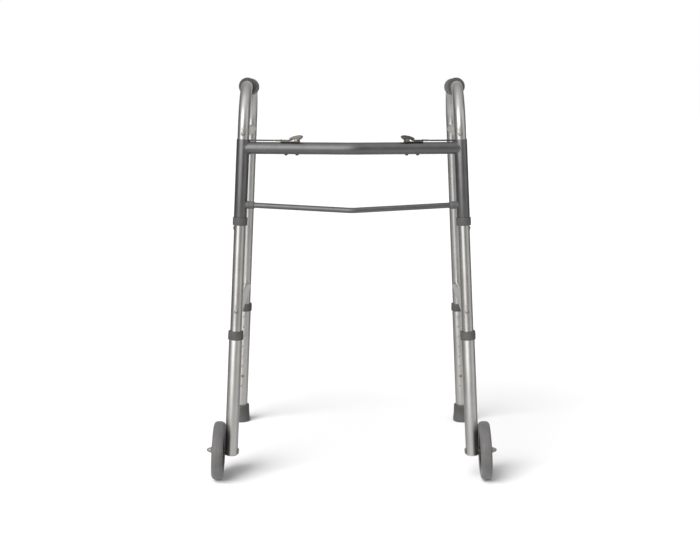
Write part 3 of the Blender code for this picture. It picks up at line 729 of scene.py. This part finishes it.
def hand_grip(tag):
    """Moulded grip: soft finger rings with fine ribs over them, and a flange at each end."""
    y0, y1 = GRIP_Y
    flange = 0.0085
    steps = 10 * GRIP_RIBS
    near_end = [(LOWER_BORE, y0), (GRIP_R, y0, 0.0026), (GRIP_R, y0 + flange)]
    far_end = [(GRIP_R, y1 - flange), (GRIP_R, y1, 0.0026), (LOWER_BORE, y1)]
    ring = rounded(near_end, 0.001, 6, closed=False)
    start, end = y0 + flange, y1 - flange
    for k in range(1, steps):
        t = k / steps
        wave = 0.5 - 0.5 * cos(2 * pi * GRIP_RIBS * t)
        fine = 0.00018 * cos(2 * pi * GRIP_RIBS * 5 * t)
        ring.append((GRIP_R - 0.0001 - 0.0017 * wave**1.4 - abs(fine), start + (end - start) * t))
    ring += rounded(far_end, 0.001, 6, closed=False)
    lie = Matrix.Translation((0, 0, RAIL_Z)) @ Matrix.Rotation(-pi / 2, 4, "X")
    mesh = to_mesh("hand_grip_" + tag, revolve(ring, 56), leg_frame(tag) @ lie)
    piece("hand_grip_" + tag, mesh, GRIP, crease=60)


# ---------------------------------------------------------------- leg extensions
def extension(name, place, heights, top_hole, turn, cross=None):
    low, top = heights
    profile = rounded([(LOWER_BORE, low), (LOWER_R, low), (LOWER_R, top), (LOWER_BORE, top)], 0.0004, 3)
    mesh = to_mesh(name, revolve(profile, 48), place)
    for i in range(HOLES):
        at = place @ Matrix.Translation((0, 0, top_hole - i * PITCH)) @ turn
        mesh = cut(mesh, rod(HOLE_R, 0.008, 0.018, 28), at @ Matrix.Rotation(0.05, 4, "Z"))
    if cross is not None:
        mesh = cut(mesh, rod(AXLE_R + GAP, -0.02, 0.02, 24), cross)
    flow(mesh, place)
    piece("leg_extension_" + name, mesh, LOWER_TUBE)
    lip = top + 0.0020
    drop = top - 0.0160
    ring = [
        (LOWER_BORE, lip, 0.0003),
        (COLLAR_R - 0.0004, lip, 0.0014),
        (COLLAR_R, top - 0.0070, 0.0001),
        (COLLAR_R, drop, 0.0009),
        (LOWER_R + GAP / 3, drop, 0.0003),
        (LOWER_R + GAP / 3, top + GAP, 0.0001),
        (LOWER_BORE, top + GAP, 0.0001),
    ]
    mesh = to_mesh(name, revolve(rounded(ring, 0.0005, 5), 56), place)
    piece("leg_collar_" + name, mesh, COLLAR, crease=45)


def button_places(tag):
    used = USED_HOLE * PITCH
    front = leg_frame(tag) @ Matrix.Translation((0, 0, FRONT_TOP_HOLE - used))
    rear = rear_frame(tag) @ Matrix.Translation((0, 0, REAR_TOP_HOLE - used))
    return front @ Matrix.Rotation(-pi / 2, 4, "X"), rear @ Matrix.Rotation(pi / 2, 4, "X")


def snap_button(name, place):
    """Brass dome on a shank, with its flat spring leaf inside the tube."""
    profile = [(0, BUTTON_TIP)]
    for k in range(1, 9):
        a = k / 8 * pi / 2
        profile.append((BUTTON_R * sin(a), BUTTON_TIP - 0.0016 * (1 - cos(a))))
    profile += [(BUTTON_R, LEAF_FACE - 0.0005), (0, LEAF_FACE - 0.0005)]
    mesh = to_mesh(name, revolve(profile, 32, loop=False), place)
    away = 1 if name.startswith("front") else -1
    y0, y1 = sorted((-0.026 * away, 0.007 * away))
    leaf = slab((-0.0040, y0, LEAF_FACE - 0.0008), (0.0040, y1, LEAF_FACE), 0.0002, 0.002)
    mesh = join(mesh, leaf, place)
    piece("snap_button_" + name, mesh, BRASS)


def rubber_tip(tag):
    """Tapered ferrule with a flared, worn sole and a shallow ring above it."""
    bore = LOWER_R + GAP / 3
    seat = REAR_LOWER[0] - GAP
    profile = [
        (0, seat),
        (bore, seat, 0.0002),
        (bore, TIP_TOP, 0.0003),
        (0.0182, TIP_TOP, 0.0010),
        (0.0187, 0.0380, 0.02),
        (0.0193, 0.0260, 0.02),
        (0.0204, 0.0150, 0.006),
        (0.0213, 0.0100, 0.002),
        (TIP_R, 0.0080, 0.0012),
        (TIP_R, 0.0025, 0.0004),
        (0.0210, 0.0016, 0.0003),
        (0.0214, 0.0008, 0.0003),
        (0.0214, -0.0045, 0.0001),
        (0, -0.0045),
    ]
    outline = rounded(profile, 0.0005, 4, closed=False)
    mesh = to_mesh("rubber_tip_" + tag, revolve(outline, 64, loop=False))
    place = rear_frame(tag)
    for v in mesh.vertices:
        spot = place @ v.co
        v.co = (spot.x, spot.y, max(spot.z, 0.0))
    clean = bmesh.new()
    clean.from_mesh(mesh)
    bmesh.ops.remove_doubles(clean, verts=clean.verts, dist=1e-6)
    clean.to_mesh(mesh)
    clean.free()
    piece("rubber_tip_" + tag, mesh, FOOT, crease=50)


# ---------------------------------------------------------------- wheels
def wheel(tag):
    """Solid tyre with a moulding seam, with its hub and nut."""
    side = -1 if tag == "left" else 1
    axle = leg_frame(tag) @ Matrix.Translation((0, 0, AXLE_Z)) @ Matrix.Rotation(side * pi / 2, 4, "Y")
    middle = axle @ Matrix.Translation((0, 0, WHEEL_OUT))
    half = TYRE_HALF
    tread = [  # one side of the tyre, from its bead out to the middle of the tread
        (TYRE_IN_R, -half * 0.80, 0.0004),
        (WHEEL_R - 0.0120, -half * 0.92, 0.002),
        (WHEEL_R - 0.0107, -half, 0.0006),
        (WHEEL_R - 0.0051, -half * 0.97, 0.004),
        (WHEEL_R - 0.0015, -half * 0.74, 0.004),
        (WHEEL_R, -half * 0.30, 0.012),
    ]
    seam = [(WHEEL_R, -0.0004, 0.0001), (WHEEL_R - 0.00025, 0, 0.0002), (WHEEL_R, 0.0004, 0.0001)]
    mirrored = [(p[0], -p[1], p[2]) for p in reversed(tread)]
    mesh = to_mesh("tyre_" + tag, revolve(rounded(tread + seam + mirrored, 0.001, 4), 112), middle)
    piece("tyre_" + tag, mesh, TYRE, crease=50)
    wheel_hub(tag, middle)
    nut(tag, axle)


def wheel_hub(tag, middle):
    """Moulded hub: rim, recessed web with ribs on both faces, and a stepped boss."""
    half = TYRE_HALF
    rim = TYRE_IN_R - GAP / 3
    bore = AXLE_R + GAP
    boss = 0.0110
    inner = -(WHEEL_OUT - LOWER_R - 2 * GAP)
    web = half * 0.24
    hub = [
        (bore, inner, 0.0003),
        (boss - 0.002, inner, 0.0006),
        (boss, inner + 0.002, 0.0006),
        (boss + 0.0008, -web, 0.0012),
        (rim - 0.0083, -web, 0.0014),
        (rim - 0.0053, -half * 0.80, 0.0006),
        (rim, -half * 0.80, 0.0004),
        (rim, half * 0.80, 0.0004),
        (rim - 0.0053, half * 0.80, 0.0006),
        (rim - 0.0083, web, 0.0014),
        (boss + 0.0008, web, 0.0012),
        (boss, half * 0.80, 0.0006),
        (boss - 0.001, half * 0.90, 0.0006),
        (bore, half * 0.90, 0.0003),
    ]
    mesh = to_mesh("wheel_hub_" + tag, revolve(rounded(hub, 0.0005, 4), 72), middle)
    rib = slab((0.0100, -0.0012, -half * 0.62), (rim - 0.0066, 0.0012, half * 0.62), 0.0003, 0.0005)
    ribs = 6
    for k in range(ribs):
        copy = rib.copy()
        mesh = join(mesh, copy, middle @ Matrix.Rotation(2 * pi * k / ribs, 4, "Z"))
    rib.free()
    piece("wheel_hub_" + tag, mesh, HUB, crease=35)


def nut(tag, axle):
    """Acorn nut: chamfered hexagon with a domed end."""
    top = NUT_START + 0.0052
    flats = [(0, top), (0.0071, top), (0.0071, NUT_START), (0, NUT_START)]
    mesh = to_mesh("nut", revolve(flats, 6, loop=False), axle)
    cone = [
        (0, NUT_START - 0.001),
        (0.0072, NUT_START - 0.001),
        (0.0072, NUT_START + 0.0042),
        (0.0060, NUT_START + 0.0053),
        (0, NUT_START + 0.0053),
    ]
    mesh = combine(mesh, revolve(cone, 40, loop=False), axle, "INTERSECT")
    base = NUT_START + 0.0046
    rise = NUT_END - base
    dome = [(0, NUT_END)]
    for k in range(1, 11):
        a = k / 10 * pi / 2
        dome.append((0.0053 * sin(a), base + rise * cos(a)))
    dome.append((0, base))
    mesh = join(mesh, revolve(dome, 36, loop=False), axle)
    mesh = cut(mesh, rod(AXLE_R + GAP, NUT_START - 0.002, NUT_END - 0.0027, 24), axle)
    piece("axle_nut_" + tag, mesh, ZINC, crease=30)


def end_plug(tag, through):
    """Plug in the bottom of the front leg; the axle bolt passes through its stem."""
    foot = FRONT_LOWER[0]
    profile = [
        (0, foot + 0.0180),
        (0.0119, foot + 0.0180),
        (0.0119, foot - GAP),
        (LOWER_R, foot - GAP, 0.0004),
        (LOWER_R - 0.0002, foot - 0.0014, 0.0008),
        (0, foot - 0.0021),
    ]
    outline = rounded(profile, 0.0004, 4, closed=False)
    mesh = to_mesh("leg_end_plug_" + tag, revolve(outline, 48, loop=False))
    mesh.transform(leg_frame(tag))
    mesh = cut(mesh, rod(AXLE_R + GAP, -0.02, 0.02, 24), through)
    piece("leg_end_plug_" + tag, mesh, PLUG)


# ---------------------------------------------------------------- front frame pieces
def sleeve(tag):
    """Painted tube in which the front leg turns, and the bushing below it."""
    leg = leg_frame(tag)
    low, top = SLEEVE_Z
    profile = [(LOWER_BORE, low), (SLEEVE_R, low), (SLEEVE_R, top), (LOWER_BORE, top)]
    mesh = to_mesh("sleeve", revolve(rounded(profile, 0.0004, 3), 56), leg)
    mesh = cut(mesh, rod(PIN_HOLE_R, 0.004, 0.020, 20), pin_place(tag))
    piece("sleeve_" + tag, mesh, PAINT)
    ring = [
        (LOWER_BORE, BUSH_Z[0], 0.0003),
        (BUSH_R - 0.0002, BUSH_Z[0], 0.0012),
        (BUSH_R, BUSH_Z[1] - 0.004, 0.001),
        (BUSH_R, BUSH_Z[1], 0.0010),
        (LOWER_BORE, BUSH_Z[1], 0.0003),
    ]
    mesh = to_mesh("bush", revolve(rounded(ring, 0.0004, 5), 56), leg)
    piece("sleeve_bushing_" + tag, mesh, COLLAR, crease=45)


def cross_path(z_end, z_mid, bend, steps):
    left, right = leg_axis_at("left", z_end), leg_axis_at("right", z_end)
    middle = (left + right) / 2 + Vector((0, -BOW, z_mid - z_end))
    return filleted([left, middle, right], [bend], steps)


def crossbar():
    path = cross_path(BAR_Z, BAR_Z, BAR_BEND, 14)
    mesh = to_mesh("crossbar", sweep(path, BAR_R, 56, wall=BAR_WALL))
    for tag in ("left", "right"):
        saddle = rod(SLEEVE_R - 0.0003, BAR_Z - 0.03, BAR_Z + 0.03, 56)
        mesh = cut(mesh, saddle, leg_frame(tag))
        mesh = join(mesh, weld_bead(tag), None)
    piece("crossbar", mesh, PAINT, crease=50)


def weld_bead(tag):
    """The fillet weld round the end of the bar, on the surface of the sleeve."""
    leg = leg_frame(tag)
    bar = bar_frame(tag)
    along, aside, up = (bar.col[i].to_3d() for i in range(3))
    root = leg_axis_at(tag, BAR_Z)
    leg_up = leg.col[2].to_3d()
    points, radii = [], []
    count = 72
    for k in range(count):
        a = 2 * pi * k / count
        edge = root + up * (BAR_R + 0.0002) * cos(a) + aside * (BAR_R + 0.0002) * sin(a)
        flat = (edge - root) - leg_up * (edge - root).dot(leg_up)
        way = along - leg_up * along.dot(leg_up)
        b = flat.dot(way)
        c = flat.dot(flat) - (SLEEVE_R + 0.0002) ** 2
        t = (-b + sqrt(max(b * b - way.dot(way) * c, 0.0))) / way.dot(way)
        points.append(edge + along * t)
        radii.append(0.0016 + 0.00016 * sin(a * 17) + 0.0001 * sin(a * 5 + 1))
    return sweep(points, 0.0016, 12, closed=True, radii=radii)


def lower_rod():
    path = cross_path(ROD_END_Z, ROD_MID_Z, ROD_BEND, 12)
    start = (path[1] - path[0]).normalized() * (SLEEVE_R + 0.0013)
    end = (path[-2] - path[-1]).normalized() * (SLEEVE_R + 0.0013)
    path = [path[0] + start, *path[1:-1], path[-1] + end]
    piece("lower_cross_rod", to_mesh("rod", sweep(path, ROD_R, 36)), PAINT, crease=50)


def rod_socket(tag):
    """Tapered cup with a shallow groove and a soft mouth."""
    path = cross_path(ROD_END_Z, ROD_MID_Z, ROD_BEND, 12)
    root, near = (path[0], path[1]) if tag == "left" else (path[-1], path[-2])
    along = (near - root).normalized()
    up = Vector((0, 0, 1))
    up = (up - up.dot(along) * along).normalized()
    place = axes(up, along.cross(up), along, root)
    bore = ROD_R + GAP / 2
    cup = [
        (bore, 0.0090),
        (SOCKET_R, 0.0090),
        (SOCKET_R, 0.0180, 0.001),
        (SOCKET_R - 0.0004, 0.0184, 0.0002),
        (SOCKET_R - 0.0004, 0.0190, 0.0002),
        (SOCKET_R - 0.0001, 0.0194, 0.0004),
        (SOCKET_R - 0.0006, SOCKET_REACH, 0.0018),
        (bore, SOCKET_REACH, 0.0004),
    ]
    mesh = to_mesh("socket", revolve(rounded(cup, 0.0003, 4), 44), place)
    mesh = cut(mesh, rod(SLEEVE_R + 0.00005, 0.55, 0.62, 56), leg_frame(tag))
    piece("rod_socket_" + tag, mesh, SOCKET, crease=45)


# ---------------------------------------------------------------- release gear
def lever_bracket(tag):
    """Folded brass plate: base, two round-topped ears, a guide tab and two round-headed rivets."""
    bar = bar_frame(tag)
    ear_t = 0.0042
    low_corner = (TAB_T[0], -BASE_HALF, BASE_Z[0])
    high_corner = (PIVOT_T + 0.006, BASE_HALF, BASE_Z[1])
    mesh = to_mesh("bracket", slab(low_corner, high_corner), bar)
    ear = [(PIVOT_T - ear_t, BASE_Z[0]), (PIVOT_T + ear_t, BASE_Z[0])]
    ear += [(PIVOT_T + ear_t, PIVOT_Z + 0.0024, 0.0030), (PIVOT_T - ear_t, PIVOT_Z + 0.0024, 0.0030)]
    for sign in (-1, 1):
        y0, y1 = sorted((sign * (CHEEK_W + GAP), sign * (CHEEK_W + GAP + 0.0012)))
        mesh = join(mesh, prism(rounded(ear, 0.0001, 5), y0, y1, 0.0002, 2), bar)
    tab = slab((TAB_T[0], -0.0035, BASE_Z[0]), (TAB_T[1], 0.0035, PIN_Z + 0.0026), 0.0002, 0.0003)
    mesh = join(mesh, tab, bar)
    low = BAR_Z - BAR_R
    for t in (PIVOT_T, CLEVIS_MID):
        head = [(0, BASE_Z[1] - 0.0004), (RIVET_R, BASE_Z[1] - 0.0004), (RIVET_R, low)]
        head += [(0.0036 * cos(a), low - 0.0004 - 0.0022 * sin(a)) for a in (k * pi / 16 for k in range(8))]
        head.append((0, low - 0.0026))
        mesh = join(mesh, revolve(head, 24, loop=False), bar @ Matrix.Translation((t, 0, 0)))
    eye = bar @ Matrix.Translation((0, 0, PIN_Z)) @ Matrix.Rotation(pi / 2, 4, "Y")
    mesh = cut(mesh, rod(0.0015, 0.070, 0.081, 20), eye)
    piece("lever_bracket_" + tag, mesh, DULL_BRASS, crease=35)


def release_lever(tag):
    """Pressed lens-shaped lever: rounded thumb pad with grip ridges, hollow below, two cheeks."""
    place = bar_frame(tag) @ Matrix.Translation((PIVOT_T, 0, PIVOT_Z))
    pad = [
        (-0.0146, 0.0018, 0.0004),
        (-0.0060, 0.0014, 0.0030),
        (-0.0022, -0.0018, 0.0020),
        (0.0000, -0.0026, 0.0026),
        (0.0022, -0.0018, 0.0020),
        (0.0070, 0.0010, 0.0060),
        (0.0108, 0.0042, 0.0030),
        (0.0118, 0.0062, 0.0014),
        (0.0108, 0.0080, 0.0014),
        (0.0080, 0.0092, 0.0060),
        (0.0040, 0.0094, 0.0100),
        (-0.0030, 0.0086, 0.0200),
        (-0.0100, 0.0062, 0.0200),
        (-0.0146, 0.0036, 0.0005),
    ]
    mesh = to_mesh("lever", prism(rounded(pad, 0.0005, 5), -CHEEK_W, CHEEK_W, 0.0011, 4), place)
    inner = CHEEK_W - 0.0012
    pocket = [
        (-0.0160, -0.0040),
        (0.0106, -0.0040),
        (0.0106, 0.0058),
        (0.0080, 0.0076),
        (0.0040, 0.0078),
        (-0.0030, 0.0070),
        (-0.0100, 0.0046),
        (-0.0160, 0.0018),
    ]
    mesh = cut(mesh, prism(pocket, -inner, inner), place)
    cross = Matrix.Rotation(pi / 2, 4, "X")
    mesh = cut(mesh, rod(0.0013, -0.01, 0.01, 20), place @ cross)
    for k in range(4):
        x = 0.0010 + 0.0021 * k
        ridge = sweep([(x, -0.0048, 0.0093), (x, 0.0048, 0.0093)], 0.0006, 12)
        mesh = cut(mesh, ridge, place)
    pull = place @ Matrix.Translation((-0.0030, 0, 0.0033)) @ cross
    mesh = join(mesh, rod(0.0009, -inner - 0.0004, inner + 0.0004, 16), pull)
    piece("release_lever_" + tag, mesh, LEVER, crease=35)


def release_spring(tag):
    bar = bar_frame(tag)
    points = []
    steps = 22 * SPRING_TURNS
    for i in range(steps + 1):
        t = i / steps
        turn = 2 * pi * SPRING_TURNS * t
        along = SPRING_T[0] + (SPRING_T[1] - SPRING_T[0]) * t
        points.append(bar @ Vector((along, SPRING_R * cos(turn), PIN_Z + SPRING_R * sin(turn))))
    mesh = to_mesh("spring", sweep(points, SPRING_WIRE, 10))
    piece("release_spring_" + tag, mesh, WIRE)


def kept_nodes():
    """CAD nodes that are shown as they are, with a finished material."""
    looks = {"lever_pin_": ZINC, "release_rod_": WIRE, "stop_rivet_": FITTING, "axle_bolt_": ZINC}
    for start, look in looks.items():
        for tag in ("left", "right"):
            node = frame["nodes"][start + tag]
            node.data.materials.clear()
            node.data.materials.append(look)


# ---------------------------------------------------------------- stage
def stage():
    bm = bmesh.new()
    bmesh.ops.create_grid(bm, x_segments=8, y_segments=8, size=40.0)
    floor = bpy.data.objects.new("floor", to_mesh("floor", bm, Matrix.Translation((0, 0, -0.0002))))
    bpy.context.scene.collection.objects.link(floor)
    look = Look("floor_paper", (0.96, 0.96, 0.96), 0.85, 0.0, Specular_IOR_Level=0.1)
    look.bump(look.noise(look.place((1, 1, 1)), 90, 3), 0.00006)
    floor.data.materials.append(look.mat)
    floor.visible_glossy = False


def direction(azimuth, elevation):
    """Unit vector, from degrees to the left (minus) or right of straight in front, and degrees up."""
    a, e = radians(azimuth), radians(elevation)
    return Vector((sin(a) * cos(e), -cos(a) * cos(e), sin(e)))


def world():
    """Soft studio: white for the eye, graded greys for what lights and mirrors in the frame."""
    made = bpy.data.worlds.new("studio")
    bpy.context.scene.world = made
    made.use_nodes = True
    tree = made.node_tree
    tree.nodes.clear()

    def add(kind, **links):
        node = tree.nodes.new(kind)
        for key, value in links.items():
            index = int(key[1:])
            if isinstance(value, bpy.types.NodeSocket):
                tree.links.new(value, node.inputs[index])
            else:
                node.inputs[index].default_value = value
        return node

    source = add("ShaderNodeTexCoord").outputs["Generated"]
    way = add("ShaderNodeSeparateXYZ", i0=source)
    ramps = [
        (way.outputs["Y"], -0.35, 0.55, STUDIO_FRONT, STUDIO_SIDE),
        (way.outputs["Y"], 0.74, 1.0, 0.0, STUDIO_BACK - STUDIO_SIDE),
        (way.outputs["Z"], 0.15, 0.95, 0.0, STUDIO_TOP),
        (way.outputs["Z"], -0.08, -0.60, 0.0, STUDIO_FLOOR),
    ]
    for azimuth, elevation, start, full, power in PANELS:
        facing = add("ShaderNodeVectorMath", i0=source, i1=direction(azimuth, elevation))
        facing.operation = "DOT_PRODUCT"
        ramps.append((facing.outputs["Value"], start, full, 0.0, power))
    total = None
    for value, start, end, low, high in ramps:
        ramp = add("ShaderNodeMapRange", i0=value, i1=start, i2=end, i3=low, i4=high)
        ramp.interpolation_type = "SMOOTHSTEP"
        total = add("ShaderNodeMath", i0=total, i1=ramp.outputs[0]).outputs[0] if total else ramp.outputs[0]
    graded = add("ShaderNodeBackground", i1=total)
    plain = add("ShaderNodeBackground", i0=(1, 1, 1, 1), i1=1.0)
    seen = add("ShaderNodeLightPath").outputs["Is Camera Ray"]
    mix = add("ShaderNodeMixShader", i0=seen, i1=graded.outputs[0], i2=plain.outputs[0])
    add("ShaderNodeOutputWorld", i0=mix.outputs[0])


def key_light():
    """One large soft light from the front left, above."""
    data = bpy.data.lights.new("key", "SUN")
    data.angle = radians(KEY_SPREAD)
    data.energy = KEY_POWER
    ob = bpy.data.objects.new("key", data)
    bpy.context.scene.collection.objects.link(ob)
    ob.rotation_euler = direction(KEY_AZIMUTH, KEY_ELEVATION).to_track_quat("Z", "Y").to_euler()
    ob.visible_glossy = False


def camera():
    data = bpy.data.cameras.new("camera")
    data.sensor_width = CAMERA_SENSOR
    data.lens = CAMERA_LENS
    ob = bpy.data.objects.new("camera", data)
    bpy.context.scene.collection.objects.link(ob)
    ob.location = CAMERA_PLACE
    ob.rotation_euler = (radians(CAMERA_TILT), 0, 0)
    bpy.context.scene.camera = ob


crossbar()
lower_rod()
for label in ("left", "right"):
    sleeve(label)
    rod_socket(label)
    lever_bracket(label)
    release_lever(label)
    release_spring(label)
    side_tube(label)
    hand_grip(label)
    brace(label, "upper_brace", UPPER_BRACE)
    brace(label, "lower_brace", LOWER_BRACE)
    domed_rivet(("rivet_front_upper", "rivet_rear_upper", "rivet_front_lower", "rivet_rear_lower"), label)
    front_turn, rear_turn = (Matrix.Rotation(a, 4, "X") for a in (-pi / 2, pi / 2))
    through = leg_frame(label) @ Matrix.Translation((0, 0, AXLE_Z)) @ Matrix.Rotation(pi / 2, 4, "Y")
    extension("front_" + label, leg_frame(label), FRONT_LOWER, FRONT_TOP_HOLE, front_turn, through)
    extension("rear_" + label, rear_frame(label), REAR_LOWER, REAR_TOP_HOLE, rear_turn)
    for which, where in zip(("front_", "rear_"), button_places(label)):
        snap_button(which + label, where)
    wheel(label)
    end_plug(label, through)
    rubber_tip(label)
kept_nodes()
stage()
world()
key_light()
camera()
bpy.context.scene.view_settings.view_transform = "Standard"
bpy.context.view_layer.update()
